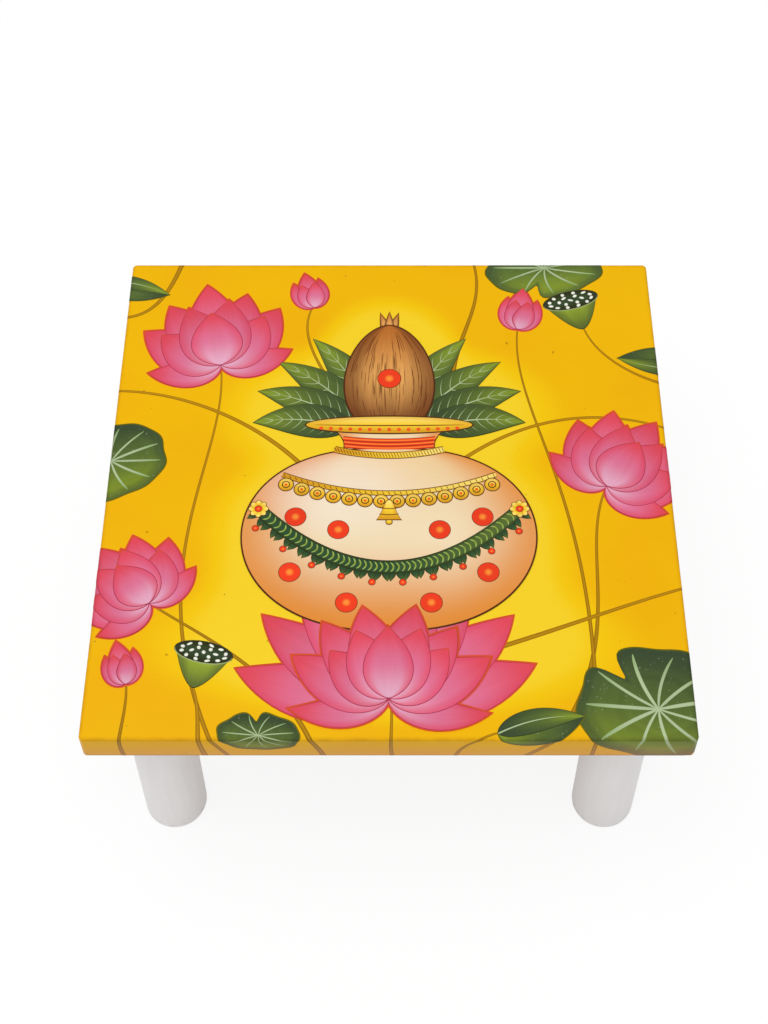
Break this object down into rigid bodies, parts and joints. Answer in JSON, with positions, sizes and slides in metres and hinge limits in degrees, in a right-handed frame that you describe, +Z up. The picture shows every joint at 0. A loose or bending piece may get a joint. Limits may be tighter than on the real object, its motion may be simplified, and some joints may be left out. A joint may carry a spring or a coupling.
{
  "type": "low table",
  "caption": "Low square table: a painted board top with rounded edges on round white legs, each joined by a hanger bolt and a sunk threaded insert, with felt pads under the legs.",
  "frame": {"origin": "on the floor, under the middle of the table", "axes": "+Z up, -Y towards the front, +X to the right as seen from the front"},
  "size_m": [0.305, 0.305, 0.147],
  "materials": {
    "board_lacquer": "fibreboard under golden yellow paint and clear satin lacquer",
    "leg_paint": "satin white paint on turned wood",
    "bolt_steel": "zinc plated",
    "insert_brass": "machined",
    "pad_felt": "pressed felt"
  },
  "bodies": {
    "root": {"top_board": "board_lacquer", "front_left_leg": "leg_paint", "front_right_leg": "leg_paint", "back_left_leg": "leg_paint", "back_right_leg": "leg_paint", "front_left_hanger_bolt": "bolt_steel", "front_right_hanger_bolt": "bolt_steel", "back_left_hanger_bolt": "bolt_steel", "back_right_hanger_bolt": "bolt_steel", "front_left_threaded_insert": "insert_brass", "front_right_threaded_insert": "insert_brass", "back_left_threaded_insert": "insert_brass", "back_right_threaded_insert": "insert_brass", "front_left_foot_pad": "pad_felt", "front_right_foot_pad": "pad_felt", "back_left_foot_pad": "pad_felt", "back_right_foot_pad": "pad_felt"}
  },
  "joints": []
}
